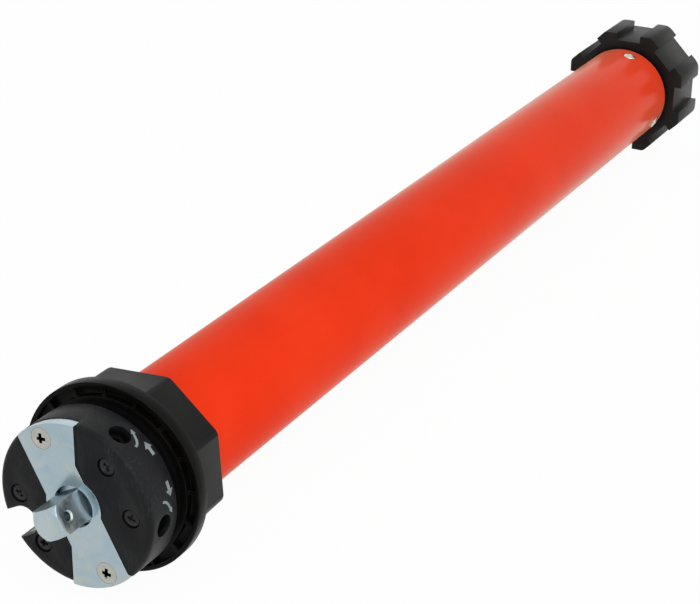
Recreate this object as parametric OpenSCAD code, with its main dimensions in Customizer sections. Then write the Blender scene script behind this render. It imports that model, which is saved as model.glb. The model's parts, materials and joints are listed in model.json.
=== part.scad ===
// Tubular motor for a roller blind. The axis lies along X, the head is at the -X end.
// The origin is on the axis, in the outer face of the mounting plate.

/* [Tube] */
// Outer diameter of the motor tube
tube_d = 45; // [44:0.5:46]
// Wall of the motor tube
tube_wall = 1; // [0.8:0.1:1.4]
// Angle between the two rivets of a pair, in degrees
rivet_pair = 102; // [80:1:110]
// Radius of a rivet head
rivet_head_r = 2.9; // [2.6:0.1:3.2]
// Turn of the rivets about the axis, in degrees
rivet_roll = 13; // [0:1:40]

/* [Head] */
// Turn of the head about the axis as it lies, in degrees
head_roll = -27.5; // [-90:0.5:90]
// Outer diameter of the head
head_d = 56.2; // [56:0.2:58]
// Length of the cap on the head
cover_len = 14.3; // [14:0.1:17]
// Wall of the cap's skirt
cover_wall = 1.7; // [1.4:0.1:1.9]
// Thickness of the cap's face
face_wall = 3.4; // [2.8:0.1:3.6]
// Radius of the cap's rounded front edge
rim_round = 2; // [1:0.1:2.2]
// How far the mounting plate stands proud of the cap
plate_proud = 0.4; // [0.2:0.1:0.8]
// Length of the shoulder between the cap and the crown
shoulder_len = 5.5; // [4:0.1:8]
// Width of the cable notch
notch_w = 10; // [8:0.5:10.5]
// Depth of the cable notch from the head's rim
notch_depth = 11.1; // [10.1:0.1:11.6]

/* [Mounting plate and pin] */
// Half width of the plate's wings at their waist
wing_w = 8.1; // [7.6:0.1:9]
// Flare of a wing's edge, in degrees
wing_flare = 28; // [20:1:32]
// Radius of the plate's round centre
plate_hub_r = 10.1; // [9.4:0.1:11]
// Side of the square pin
pin_w = 10; // [9:0.5:11]
// How far the pin stands out of the plate
pin_out = 13.3; // [12:0.1:16]
// Diameter of the split pin's hole
pin_hole_d = 3; // [2:0.1:4]
// Distance from the plate to the split pin's hole
pin_hole_x = 8.8; // [8:0.1:9.4]
// Distance from the head's rim to a plate screw
plate_screw_edge = 4.7; // [4.6:0.1:5]
// Distance from the head's rim to a cap screw
cover_screw_edge = 7.3; // [7.1:0.1:7.7]
// Angle between a cap screw and the line across the plate, in degrees
cover_screw_a = 25; // [24:0.5:26]

/* [Limit adjusters] */
// Diameter of the key holes in the skirt
key_hole_d = 7.4; // [6.6:0.1:7.6]
// Distance from the face of the plate to the key holes
key_x = 7.6; // [7.4:0.1:9.5]
// Angle between a key hole and the line across the plate, in degrees
key_angle = 34; // [34:1:40]
// Width across flats of the adjusting screw's hexagon socket
key_af = 3; // [2.5:0.5:4]

/* [Crown] */
// Width across flats of the crown's octagon
octagon_af = 56; // [56:0.5:58]
// Diameter of the crown's flange
flange_d = 65.4; // [64:0.2:68]
// Length of the flange
flange_len = 4.6; // [4:0.1:6]
// Length of the crown
crown_len = 20.6; // [19:0.1:26]
// Turn of the crown as it lies, in degrees
crown_roll = -3.5; // [-22:0.5:22]
// Depth of the pockets in the front of the flange
pocket_depth = 2.8; // [1.5:0.1:3]
// Ribs across the pockets
pocket_ribs = 16; // [8:1:24]

/* [Drive wheel] */
// Width across flats of the drive wheel
wheel_af = 58.6; // [57.6:0.2:59.6]
// Length of the drive wheel
wheel_len = 30; // [24:0.5:40]
// Turn of the drive wheel as it lies, in degrees
wheel_roll = 1; // [-22:0.5:22]
// Depth of the recess in each flat
recess_depth = 3.4; // [2:0.1:4]
// How far the lugs end before the wheel's rear face
lug_step = 4; // [2:0.5:6]
// Width of a corner lug
lug_w = 11; // [8:0.5:13]
// Gap between the tube's end and the wheel
wheel_gap = 2.8; // [1.5:0.1:5]
// Diameter of the output shaft
output_d = 12; // [11:0.5:13]

/* [Motor] */
// Length of the stator stack
stator_len = 100; // [60:1:120]
// Diameter of the rotor
rotor_d = 18; // [17:0.5:20]
// Slots in the stator
slots = 12; // [8:4:16]
// Diameter of the motor shaft
shaft_d = 6; // [5:0.5:7]
// Length of the run capacitor
capacitor_len = 74; // [50:1:80]
// Diameter of the run capacitor
capacitor_d = 33; // [28:0.5:35]
// Free length for wires on each side of the capacitor
wiring_room = 16; // [10:0.5:24]
// Travel of the brake's armature
brake_travel = 0.4; // [0.3:0.1:0.6]

/* [Gearbox] */
// Module of the planetary gears
gear_m = 0.65; // [0.6:0.01:0.66]
// Width of the first stage's planets
planet_len = 12; // [8:0.5:14]
// Growth of the planets' width from stage to stage
planet_growth = 3; // [2:0.5:4]
// Radius of the planets' pins
planet_pin_r = 1.5; // [1.2:0.1:1.8]

/* [Fits] */
// Radial clearance of a shaft in its hole
running_gap = 0.05; // [0.03:0.01:0.08]
// Clearance between pieces that are fixed to each other
fixed_gap = 0.05; // [0.03:0.01:0.1]
// Clearance between moving faces
face_gap = 0.4; // [0.35:0.05:0.6]

/* [Hidden] */
$fn = 72;
far = 700;
pressure_angle = 25;
flank_steps = 3;
backlash = 0.08;
tooth_tip = 0.85;
tooth_root = 1.2;
ring_tip = 0.8;
overlap = 0.5;
spare = 0.5;
screw_play = 0.3;

// Radii that follow the tube
tube_r = tube_d / 2;
tube_ri = tube_r - tube_wall;
core_r = tube_ri - fixed_gap;

// Stations along the axis, from the plate's face to the far end
cover_x = plate_proud;
cover_end = cover_x + cover_len;
plate_t = cover_x + face_wall;
body_front = cover_x + face_wall + fixed_gap;
shoulder_end = cover_end + shoulder_len;
crown_x = shoulder_end + face_gap;
land_len = 2.2;
crown_gear_len = 5;
crown_gear_x = crown_x + land_len + face_gap;
rear_land_x = crown_gear_x + crown_gear_len + face_gap;
rear_land_len = 5;
clip_t = 0.8;
clip_x = rear_land_x + rear_land_len + face_gap;
neck_tail = 1;
neck_end = clip_x + clip_t + neck_tail;
spigot_len = 11;
spigot_end = neck_end + spigot_len;
wall_t = 3.2;
hollow_x = cover_end + wall_t;

// Head
head_r = head_d / 2;
notch_r = head_r - notch_depth;
plate_screw_r = head_r - plate_screw_edge;
cover_screw_r = head_r - cover_screw_edge;
body_r = head_r - cover_wall - fixed_gap;
neck_r = tube_r;
neck_wall = 2.5;
hollow_r = neck_r - neck_wall;
crown_bore_r = neck_r + running_gap;
clip_out = 1.1;
clip_r = neck_r + clip_out;
clip_groove = 0.6;
clip_mouth = 6;
skirt_bore_r = clip_r + face_gap;

// Octagons of the crown and the drive wheel
flat_r = octagon_af / 2;
corner_r = flat_r / cos(22.5);
corner_ease = 0.3;
wheel_flat_r = wheel_af / 2;
wheel_corner_r = wheel_flat_r / cos(22.5);
rib_t = 1.2;

// Pin and screws
collar_r = 9;
collar_t = 3;
shank_r = 4.5;
shank_len = 5;
shank_end = body_front + collar_t + shank_len;
tip_round = 1.9;
seat_x = 2.2;
seat_play = 0.3;
plate_inset = 0.2;
plate_hole_r = pin_w / sqrt(2) + fixed_gap;
cs_head_r = 3.95;
cs_depth = 1.8;
plate_thread_r = 1.6;
plate_screw_len = 9;
cover_head_r = 2.9;
cover_head_t = 1.4;
cover_bore_r = 3.25;
cover_sink = 0.2;
cover_thread_r = 1.3;
cover_screw_len = 9;
cross_w = 0.9;
cross_span = 3.8;
cross_depth = 1;
adjuster_head_r = 3;
adjuster_head_t = 2.6;
adjuster_sink = 3;
adjuster_shank_r = 1.6;
adjuster_out = head_r - adjuster_sink;
adjuster_in = 12;
key_depth = 1.8;

// Supply socket and the screws of the neck
socket_len = 7;
socket_w = 8;
socket_depth = 6;
socket_wall = 1;
socket_back = 2;
socket_x = cover_end - socket_len - socket_back;
contact_pitch = 1.8;
contact_r = 0.5;
wire_hole_r = 2.5;
neck_screw_r = 1.4;
neck_screw_count = 3;
neck_screw_roll = 30;
neck_screw_x = neck_end + 3;
neck_screw_sink = 0.2;

// Limit gears
crown_teeth = 60;
crown_m = 0.8;
pinion_teeth = 20;
limit_z = crown_m * (crown_teeth - pinion_teeth) / 2;
small_teeth = 10;
reducer_teeth = 40;
reducer_m = 0.6;
reducer_z = limit_z - reducer_m * (small_teeth + reducer_teeth) / 2;
cam_teeth = 30;
cam_m = 0.5;
cam_y = cam_m * (small_teeth + cam_teeth) / 2;
spindle_r = 1.3;
spindle_x = cover_end + 1.4;
gear_side = 0.3;
limit_gear_x = crown_gear_x + gear_side;
limit_gear_len = crown_gear_len - 2 * gear_side;
reducer_x = rear_land_x;
reducer_len = 3.5;
cam_gap = 1.2;
cam_x = reducer_x + reducer_len + cam_gap;
cam_wheel_len = 2.5;
cam_lobe_len = 3;
cam_base_r = 5.6;
cam_lobe_r = 7.4;
cam_lobe_turn = 60;
cam_sleeve_r = 2.6;
cam_post_r = 1.5;
limit_plate_t = 2.5;
switch_w = 9;
switch_h = 4.8;
switch_edge = 2.4;
switch_back = 2.5;
plunger_r = 1;
plunger_len = 4;
plunger_out = 2.6;
plunger_x = cam_x + cam_wheel_len + cam_lobe_len / 2;
switch_top = reducer_z - cam_lobe_r - face_gap - plunger_out;

// Capacitor and brake
holder_x = spigot_end + limit_plate_t + wiring_room;
holder_len = 14;
holder_floor = 2;
holder_lip = 4;
capacitor_r = capacitor_d / 2;
capacitor_x = holder_x + holder_floor;
capacitor_end = capacitor_x + capacitor_len;
tab_len = 9;
tab_w = 6.3;
tab_t = 0.8;
tab_pitch = 10;
brake_x = capacitor_end + tab_len + wiring_room;
yoke_len = 24;
yoke_floor = 4;
coil_len = 16;
coil_ri = 8;
coil_ro = 15;
coil_sink = 0.2;
armature_t = 3.5;
disc_t = 4.5;
disc_r = 17;
armature_x = brake_x + yoke_len + brake_travel + face_gap;
disc_x = armature_x + armature_t + face_gap;
spring_r = 6;
spring_wire = 1;
spring_slack = 0.1;

// Motor
shaft_r = shaft_d / 2;
shaft_tail = 2;
bearing_wall = 5;
bearing_r = shaft_r + bearing_wall;
bearing_len = 7;
shield_len = 12;
winding_len = 17;
rear_shield_x = disc_x + disc_t + face_gap;
winding_gap = 6;
stator_x = rear_shield_x + shield_len + winding_gap + winding_len;
stator_end = stator_x + stator_len;
air_gap = 0.4;
bore_r = rotor_d / 2 + air_gap;
slot_r = (bore_r + core_r) / 2;
slot_w = 3.4;
slot_iron = 6;
slot_h = core_r - bore_r - slot_iron;
front_shield_x = stator_end + winding_len + winding_gap;
gear_x = front_shield_x + shield_len;

// Planetary gears
sun_teeth = 18;
planet_teeth = 18;
ring_teeth = 54;
planet_orbit = gear_m * (sun_teeth + planet_teeth) / 2;
ring_tip_r = gear_m * (ring_teeth / 2 - ring_tip);
carrier_r = ring_tip_r - face_gap;
carrier_t = 4;
stage_gap = 1;
planet_w = [for (i = [0:2]) planet_len + planet_growth * i];
sun_room = 5;
first_x = gear_x + sun_room;
second_x = first_x + planet_w[0] + carrier_t + 2 * stage_gap + face_gap;
third_x = second_x + planet_w[1] + carrier_t + 2 * stage_gap + face_gap;
stage_x = [first_x, second_x, third_x];
carrier_x = [for (i = [0:2]) stage_x[i] + planet_w[i] + face_gap];
case_end = carrier_x[2] + carrier_t + stage_gap;
cap_len = 36.2;
tube_end = case_end + cap_len;
cap_sink = 0.5;
cap_end = tube_end - cap_sink;

// Output
output_r = output_d / 2;
bush_wall = 2;
wheel_x = tube_end + wheel_gap;
wheel_end = wheel_x + wheel_len;
hub_sink = 6;
hub_end = wheel_end - hub_sink;
shaft_sink = 2;
flat_depth = 1;
wheel_groove = 1;
wheel_clip_out = 1.6;
wheel_clip_mouth = 5;
rivet_edge = 8;
rivet_x = tube_end - rivet_edge;
rivet_r = 1.5;
rivet_grip = 5;
rivet_head_t = 0.7;
rivet_dome = 0.6;
rivet_dimple_r = 0.8;
rivet_dimple = 0.4;

// Involute gear outlines. A tooth is centred on the outline's own x axis.
function involute(a) = tan(a) * 180 / PI - a;

function flank(z, m, thin, r) =
    90 / z - thin * 180 / PI / (m * z) + involute(pressure_angle)
    - involute(acos(min(1, m * z / 2 * cos(pressure_angle) / r)));

function polar(r, a) = [r * cos(a), r * sin(a)];

function gear_outline(z, m, add, ded, thin) =
    let (pitch_r = m * z / 2)
    let (base_r = pitch_r * cos(pressure_angle))
    let (tip_r = pitch_r + add * m)
    let (root_r = pitch_r - ded * m)
    let (start_r = max(base_r + 0.001, root_r))
    let (root = root_r < base_r ? [root_r] : [])
    let (radii = [for (i = [0:flank_steps]) start_r + (tip_r - start_r) * i / flank_steps])
    [for (k = [0:z - 1]) let (mid = 360 * k / z) each concat(
        [for (r = root) polar(r, mid - flank(z, m, thin, start_r))],
        [for (r = radii) polar(r, mid - flank(z, m, thin, r))],
        [for (i = [0:flank_steps]) let (r = radii[flank_steps - i]) polar(r, mid + flank(z, m, thin, r))],
        [for (r = root) polar(r, mid + flank(z, m, thin, start_r))])];

module gear_2d(z, m) {
    polygon(gear_outline(z, m, tooth_tip, tooth_root, backlash));
}

module ring_cut_2d(z, m) {
    polygon(gear_outline(z, m, tooth_root, ring_tip, -backlash));
}

// Stands a shape drawn in Y and Z, or turned about its own z axis, along X from station x.
module on_axis(x) {
    translate([x, 0, 0]) rotate([90, 0, 90]) children();
}

module rod(x0, x1, r) {
    on_axis(x0) cylinder(h = x1 - x0, r = r);
}

module ring(x0, x1, r_in, r_out) {
    difference() {
        rod(x0, x1, r_out);
        rod(x0 - 1, x1 + 1, r_in);
    }
}

module at_yz(y, z) {
    translate([0, y, z]) children();
}

// The head's own turn. Inside it, the plate runs along Z and the notch opens towards +Y.
module in_head() {
    rotate([head_roll, 0, 0]) children();
}

// A place at radius r and angle a from +Y, in the head's own turn.
module head_polar(r, a) {
    at_yz(r * cos(a), r * sin(a)) children();
}

function cover_screw_angles() =
    [cover_screw_a, -cover_screw_a, 180 + cover_screw_a, 180 - cover_screw_a];

module at_cover_screws() {
    for (a = cover_screw_angles()) head_polar(cover_screw_r, a) children();
}

module at_plate_screws() {
    for (s = [-1, 1]) at_yz(0, s * plate_screw_r) children();
}

// A radial axis through a key hole, pointing out of the head. side is 1 for the upper one.
module at_key(side) {
    translate([key_x, 0, 0]) rotate([180 - side * key_angle, 0, 0]) rotate([-90, 0, 0]) children();
}

module cross_recess(x) {
    for (a = [0, 90])
        translate([x - 1, 0, 0]) rotate([a + 45, 0, 0])
            translate([0, -cross_w / 2, -cross_span / 2]) cube([1 + cross_depth, cross_w, cross_span]);
}

// Mounting plate and pin

// The plate's outline, grown on all sides and cut off at radius reach.
module plate_2d(grow, reach) {
    wing_top = 40;
    flare_start = wing_w * 1.5;
    flare_y = wing_w + grow + (wing_top - flare_start) * tan(wing_flare);
    intersection() {
        union() {
            circle(plate_hub_r + grow);
            for (turn = [0, 180]) rotate(turn)
                polygon([
                    [wing_w + grow, 0],
                    [wing_w + grow, wing_top],
                    [-flare_y, wing_top],
                    [-wing_w - grow, flare_start],
                    [-wing_w - grow, 0]
                ]);
        }
        circle(reach);
    }
}

// The plate goes through the cap's face and rests on the core behind it.
module mounting_plate() {
    color("lightsteelblue") in_head() difference() {
        on_axis(0) linear_extrude(plate_t) plate_2d(0, head_r - plate_inset);
        rod(-1, plate_t + 1, plate_hole_r);
        at_plate_screws() {
            rod(-1, plate_t + 1, plate_thread_r + screw_play);
            on_axis(-0.001)
                cylinder(h = cs_depth, r1 = cs_head_r + fixed_gap, r2 = plate_thread_r + screw_play);
        }
    }
}

module plate_screws() {
    color("gainsboro") in_head() at_plate_screws() difference() {
        union() {
            on_axis(0) cylinder(h = cs_depth, r1 = cs_head_r, r2 = plate_thread_r);
            rod(cs_depth - overlap, plate_screw_len, plate_thread_r);
        }
        cross_recess(0);
    }
}

module square_pin() {
    color("silver") in_head() difference() {
        union() {
            intersection() {
                translate([-pin_out, -pin_w / 2, -pin_w / 2])
                    cube([pin_out + body_front + overlap, pin_w, pin_w]);
                on_axis(-pin_out) union() {
                    cylinder(h = tip_round, r1 = pin_w / sqrt(2) - tip_round, r2 = pin_w / sqrt(2));
                    translate([0, 0, tip_round]) cylinder(h = far, r = pin_w / sqrt(2));
                }
            }
            rod(seat_x, body_front + overlap, plate_hole_r - seat_play);
            rod(body_front, body_front + collar_t, collar_r);
            rod(body_front, shank_end, shank_r);
        }
        translate([-pin_hole_x, 0, 0]) rotate([90, 0, 0])
            cylinder(h = 2 * pin_w, d = pin_hole_d, center = true);
    }
}

// Head

module notch() {
    translate([-1, notch_r + notch_w / 2, -notch_w / 2]) cube([cover_end + 1, far, notch_w]);
    at_yz(notch_r + notch_w / 2, 0) rod(-1, cover_end, notch_w / 2);
}

module head_cover() {
    color("dimgray") in_head() difference() {
        on_axis(cover_x) rotate_extrude() difference() {
            union() {
                square([head_r - rim_round, cover_len]);
                translate([0, rim_round]) square([head_r, cover_len - rim_round]);
                translate([head_r - rim_round, rim_round]) circle(rim_round);
            }
            translate([0, face_wall]) square([head_r - cover_wall, cover_len]);
        }
        on_axis(-1) linear_extrude(plate_t + 1 + fixed_gap) plate_2d(fixed_gap, head_r + 1);
        at_cover_screws() {
            rod(-1, cover_x + cover_sink + cover_head_t + fixed_gap, cover_bore_r);
            rod(-1, far, cover_thread_r + screw_play);
        }
        notch();
        for (s = [-1, 1]) at_key(s) translate([0, 0, adjuster_in]) cylinder(h = far, d = key_hole_d);
    }
}

module cover_screws() {
    head_x = cover_x + cover_sink;
    color("black") in_head() at_cover_screws() difference() {
        union() {
            rod(head_x, head_x + cover_head_t, cover_head_r);
            rod(head_x, head_x + cover_screw_len, cover_thread_r);
        }
        cross_recess(head_x);
    }
}

module head_body() {
    color("black") difference() {
        union() {
            rod(body_front, shoulder_end, body_r);
            rod(shoulder_end - 1, neck_end, neck_r);
            rod(neck_end - 1, spigot_end, core_r);
        }
        rod(hollow_x, far, hollow_r);
        ring(clip_x - fixed_gap, clip_x + clip_t + fixed_gap, neck_r - clip_groove, far);
        in_head() {
            rod(-1, body_front + collar_t + fixed_gap, collar_r + fixed_gap);
            rod(-1, shank_end + fixed_gap, shank_r + fixed_gap);
            at_plate_screws() rod(-1, plate_screw_len + spare, plate_thread_r + fixed_gap);
            at_cover_screws()
                rod(-1, cover_x + cover_sink + cover_screw_len + spare, cover_thread_r + fixed_gap);
            notch();
            socket_block(fixed_gap);
            at_yz(notch_r - socket_depth / 2, 0) rod(socket_x + socket_len, far, wire_hole_r);
            for (s = [-1, 1]) at_key(s) {
                translate([0, 0, adjuster_in - spare]) cylinder(h = far, r = adjuster_shank_r + running_gap);
                translate([0, 0, adjuster_out - adjuster_head_t - face_gap])
                    cylinder(h = far, r = adjuster_head_r + running_gap);
            }
        }
        at_yz(0, limit_z) rod(spindle_x - face_gap, far, spindle_r + running_gap);
        at_yz(0, reducer_z) rod(spindle_x - face_gap, far, spindle_r + running_gap);
        pinion_window();
        at_neck_screws() cylinder(h = far, r = neck_screw_r + fixed_gap);
    }
}

// Opening in the neck for the limit pinion
module pinion_window() {
    half = crown_m * pinion_teeth / 2 + crown_m + face_gap;
    translate([crown_gear_x, -half, limit_z]) cube([crown_gear_len, 2 * half, far]);
    at_yz(0, limit_z) rod(crown_gear_x, crown_gear_x + crown_gear_len, half);
}

module at_neck_screws() {
    for (i = [0:neck_screw_count - 1])
        translate([neck_screw_x, 0, 0]) rotate([neck_screw_roll + 360 * i / neck_screw_count, 0, 0])
            translate([0, 0, hollow_r - 1]) children();
}

module neck_screws() {
    color("silver") intersection() {
        at_neck_screws() cylinder(h = far, r = neck_screw_r);
        ring(neck_end, spigot_end, hollow_r + neck_screw_sink, tube_r - neck_screw_sink);
    }
}

// Supply socket behind the notch
module socket_block(grow) {
    translate([socket_x - grow, notch_r - socket_depth - grow, -socket_w / 2 - grow])
        cube([socket_len + 2 * grow, socket_depth + grow + notch_w / 2, socket_w + 2 * grow]);
}

module socket_cavity() {
    translate([socket_x + socket_wall, notch_r - socket_depth + 2 * socket_wall, socket_wall - socket_w / 2])
        cube([socket_len - 2 * socket_wall, far, socket_w - 2 * socket_wall]);
}

module cable_socket() {
    color("ivory") in_head() difference() {
        intersection() {
            socket_block(0);
            translate([0, -far, -far]) cube([far, far + notch_r, 2 * far]);
        }
        socket_cavity();
    }
}

module socket_pins() {
    color("gold") in_head() for (i = [-1:1])
        translate([socket_x + socket_len / 2, notch_r - socket_depth + 2 * socket_wall, i * contact_pitch])
            rotate([-90, 0, 0]) cylinder(h = socket_depth - 3 * socket_wall, r = contact_r);
}

module adjuster(side) {
    color("dimgray") in_head() at_key(side) difference() {
        union() {
            translate([0, 0, adjuster_in]) cylinder(h = adjuster_out - adjuster_in, r = adjuster_shank_r);
            translate([0, 0, adjuster_out - adjuster_head_t])
                cylinder(h = adjuster_head_t, r = adjuster_head_r);
        }
        translate([0, 0, adjuster_out - key_depth]) cylinder(h = far, r = key_af / sqrt(3), $fn = 6);
    }
}

module upper_adjuster() {
    adjuster(1);
}

module lower_adjuster() {
    adjuster(-1);
}

// Crown

// Octagon with a flat on top, its corners eased by a circle.
module octagon_2d(flat) {
    intersection() {
        rotate(22.5) circle(r = flat / cos(22.5), $fn = 8);
        circle(flat / cos(22.5) - corner_ease);
    }
}

module crown() {
    rim_wall = 1.5;
    hub_wall = 1.7;
    pocket_in = body_r + hub_wall;
    pocket_out = flange_d / 2 - rim_wall;
    rib_sink = 0.8;
    cone_len = 4;
    chamfer = 0.4;
    flange_end = crown_x + flange_len;
    color("black") rotate([crown_roll, 0, 0]) difference() {
        union() {
            rod(crown_x, flange_end, flange_d / 2);
            on_axis(flange_end - overlap) cylinder(h = cone_len, r1 = flange_d / 2, r2 = flat_r - 1);
            intersection() {
                on_axis(crown_x + 1) linear_extrude(crown_len - 1) octagon_2d(flat_r);
                on_axis(crown_x) union() {
                    cylinder(h = crown_len - chamfer, r = far);
                    translate([0, 0, crown_len - chamfer])
                        cylinder(h = chamfer, r1 = corner_r, r2 = corner_r - chamfer);
                }
            }
        }
        rod(crown_x - 1, far, crown_bore_r);
        rotate([-crown_roll, 0, 0])
            on_axis(crown_gear_x - face_gap / 2) linear_extrude(crown_gear_len + face_gap)
                ring_cut_2d(crown_teeth, crown_m);
        rod(rear_land_x + rear_land_len, far, skirt_bore_r);
        difference() {
            ring(crown_x - 1, crown_x + pocket_depth, pocket_in, pocket_out);
            for (i = [0:pocket_ribs - 1]) rotate([360 * i / pocket_ribs, 0, 0])
                translate([crown_x + rib_sink, pocket_in - 1, -rib_t / 2])
                    cube([pocket_depth, pocket_out, rib_t]);
        }
    }
}

module crown_clip() {
    color("silver") difference() {
        ring(clip_x, clip_x + clip_t, neck_r - clip_groove + fixed_gap, clip_r);
        translate([clip_x - 1, -clip_mouth / 2, -far]) cube([clip_t + 2, clip_mouth, far]);
    }
}

// Limit gears, cams and switches

module limit_pinion() {
    color("white") at_yz(0, limit_z) {
        on_axis(limit_gear_x) linear_extrude(limit_gear_len) rotate(90) gear_2d(pinion_teeth, crown_m);
        on_axis(reducer_x) linear_extrude(reducer_len) rotate(-90) gear_2d(small_teeth, reducer_m);
        rod(spindle_x, spigot_end + limit_plate_t, spindle_r);
    }
}

module limit_reducer() {
    small_len = cam_x + cam_wheel_len - gear_side - reducer_x - 1;
    color("white") at_yz(0, reducer_z) {
        on_axis(reducer_x + gear_side) linear_extrude(reducer_len - 2 * gear_side)
            rotate(90 + 180 / reducer_teeth) gear_2d(reducer_teeth, reducer_m);
        on_axis(reducer_x + 1) linear_extrude(small_len) gear_2d(small_teeth, cam_m);
        rod(spindle_x, spigot_end + limit_plate_t, spindle_r);
    }
}

// A cam wheel on its post. side is 1 for the one towards +Y.
module cam(side) {
    lobe_x = cam_x + cam_wheel_len;
    at_yz(side * cam_y, reducer_z) difference() {
        union() {
            on_axis(cam_x) linear_extrude(cam_wheel_len)
                rotate(180 / cam_teeth) gear_2d(cam_teeth, cam_m);
            on_axis(lobe_x) linear_extrude(cam_lobe_len) union() {
                circle(cam_base_r);
                intersection() {
                    circle(cam_lobe_r);
                    rotate(side * cam_lobe_turn) polygon([[0, 0], [far, -far / 4], [far, far / 4]]);
                }
            }
            rod(lobe_x, spigot_end - face_gap, cam_sleeve_r);
        }
        rod(cam_x - 1, far, cam_post_r + running_gap);
    }
}

module upper_cam() {
    color("orange") cam(1);
}

module lower_cam() {
    color("skyblue") cam(-1);
}

module limit_switch(side) {
    low_y = side > 0 ? cam_y - switch_w + switch_edge : -cam_y - switch_edge;
    difference() {
        translate([plunger_x - switch_back, low_y, switch_top - switch_h])
            cube([spigot_end - plunger_x + switch_back, switch_w, switch_h]);
        translate([plunger_x, side * cam_y, switch_top - switch_h / 2])
            cylinder(h = far, r = plunger_r + running_gap);
    }
}

module upper_switch() {
    color("dimgray") limit_switch(1);
}

module lower_switch() {
    color("dimgray") limit_switch(-1);
}

module plunger(side) {
    color("red") translate([plunger_x, side * cam_y, switch_top - plunger_len + plunger_out])
        cylinder(h = plunger_len, r = plunger_r);
}

module upper_plunger() {
    plunger(1);
}

module lower_plunger() {
    plunger(-1);
}

module limit_plate() {
    color("white") difference() {
        union() {
            rod(spigot_end, spigot_end + limit_plate_t, core_r);
            for (s = [-1, 1]) at_yz(s * cam_y, reducer_z) rod(cam_x, spigot_end + 1, cam_post_r);
        }
        at_yz(0, limit_z) rod(cam_x, far, spindle_r + running_gap);
        at_yz(0, reducer_z) rod(cam_x, far, spindle_r + running_gap);
    }
}

// Capacitor and brake

module capacitor() {
    color("lightgray") {
        rod(capacitor_x, capacitor_end, capacitor_r);
        for (s = [-1, 1]) translate([capacitor_end - overlap, (s * tab_pitch - tab_w) / 2, -tab_t / 2])
            cube([tab_len, tab_w, tab_t]);
    }
}

module capacitor_holder() {
    color("dimgray") difference() {
        rod(holder_x, holder_x + holder_len, core_r);
        rod(capacitor_x, far, capacitor_r + fixed_gap);
        rod(holder_x - 1, far, capacitor_r - holder_lip);
    }
}

module brake_yoke() {
    color("gray") difference() {
        rod(brake_x, brake_x + yoke_len, core_r);
        ring(brake_x + yoke_len - coil_len - fixed_gap, far, coil_ri - fixed_gap, coil_ro + fixed_gap);
        rod(brake_x + yoke_floor, far, spring_r + spring_wire + fixed_gap);
        rod(brake_x - 1, far, shaft_r + face_gap);
    }
}

module brake_coil() {
    coil_x = brake_x + yoke_len - coil_len;
    color("chocolate") ring(coil_x, coil_x + coil_len - coil_sink, coil_ri, coil_ro);
}

module brake_spring() {
    spring_end = armature_x - brake_travel - spring_slack;
    color("silver") ring(brake_x + yoke_floor, spring_end, spring_r - spring_wire, spring_r + spring_wire);
}

module brake_armature() {
    color("silver") ring(armature_x, armature_x + armature_t, shaft_r + face_gap, core_r - face_gap);
}

module brake_disc() {
    color("saddlebrown") ring(disc_x, disc_x + disc_t, shaft_r + fixed_gap, disc_r);
}

// Motor

module shield(x, bearing_x) {
    difference() {
        rod(x, x + shield_len, core_r);
        rod(bearing_x, bearing_x + bearing_len, bearing_r + fixed_gap);
        rod(x - 1, x + shield_len + 1, shaft_r + 1);
    }
}

module rear_shield() {
    color("silver") shield(rear_shield_x, rear_shield_x + shield_len - bearing_len);
}

module front_shield() {
    color("silver") shield(front_shield_x, front_shield_x);
}

module rear_bearing() {
    bearing_x = rear_shield_x + shield_len - bearing_len;
    color("lightgray") ring(bearing_x + fixed_gap, bearing_x + bearing_len, shaft_r + running_gap, bearing_r);
}

module front_bearing() {
    color("lightgray")
        ring(front_shield_x, front_shield_x + bearing_len - fixed_gap, shaft_r + running_gap, bearing_r);
}

module slot_2d(grow) {
    for (i = [0:slots - 1]) rotate(360 * i / slots) translate([slot_r, 0])
        square([slot_h + 2 * grow, slot_w + 2 * grow], center = true);
}

module stator_core() {
    color("slategray") on_axis(stator_x) linear_extrude(stator_len) difference() {
        circle(core_r);
        circle(bore_r);
        slot_2d(fixed_gap);
    }
}

module stator_windings() {
    color("chocolate") {
        on_axis(stator_x - 1) linear_extrude(stator_len + 2) slot_2d(0);
        for (x = [stator_x - winding_len, stator_end + fixed_gap])
            ring(x, x + winding_len - fixed_gap, slot_r - slot_h / 2, slot_r + slot_h / 2);
    }
}

module rotor_core() {
    color("gray") ring(stator_x, stator_end, shaft_r + fixed_gap, rotor_d / 2);
}

module rotor_shaft() {
    color("lightgray") {
        rod(brake_x - shaft_tail, first_x + planet_w[0], shaft_r);
        on_axis(first_x - stage_gap) linear_extrude(planet_w[0] + stage_gap - face_gap / 2)
            rotate(180 / sun_teeth) gear_2d(sun_teeth, gear_m);
    }
}

// Gearbox

module gear_case() {
    color("darkgray") difference() {
        rod(gear_x, case_end, core_r);
        on_axis(first_x - 2 * stage_gap) linear_extrude(far) ring_cut_2d(ring_teeth, gear_m);
        rod(gear_x - 1, far, bearing_r);
    }
}

// One planet. stage and place count from 0.
module planet(stage, place) {
    color("goldenrod") rotate([120 * place, 0, 0]) at_yz(planet_orbit, 0) difference() {
        on_axis(stage_x[stage]) linear_extrude(planet_w[stage]) gear_2d(planet_teeth, gear_m);
        rod(stage_x[stage] - 1, stage_x[stage] + planet_w[stage] + 1, planet_pin_r + running_gap);
    }
}

module carrier_disc(stage) {
    x = carrier_x[stage];
    rod(x, x + carrier_t, carrier_r);
    for (i = [0:2]) rotate([120 * i, 0, 0]) at_yz(planet_orbit, 0)
        rod(stage_x[stage], x + 1, planet_pin_r);
}

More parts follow.
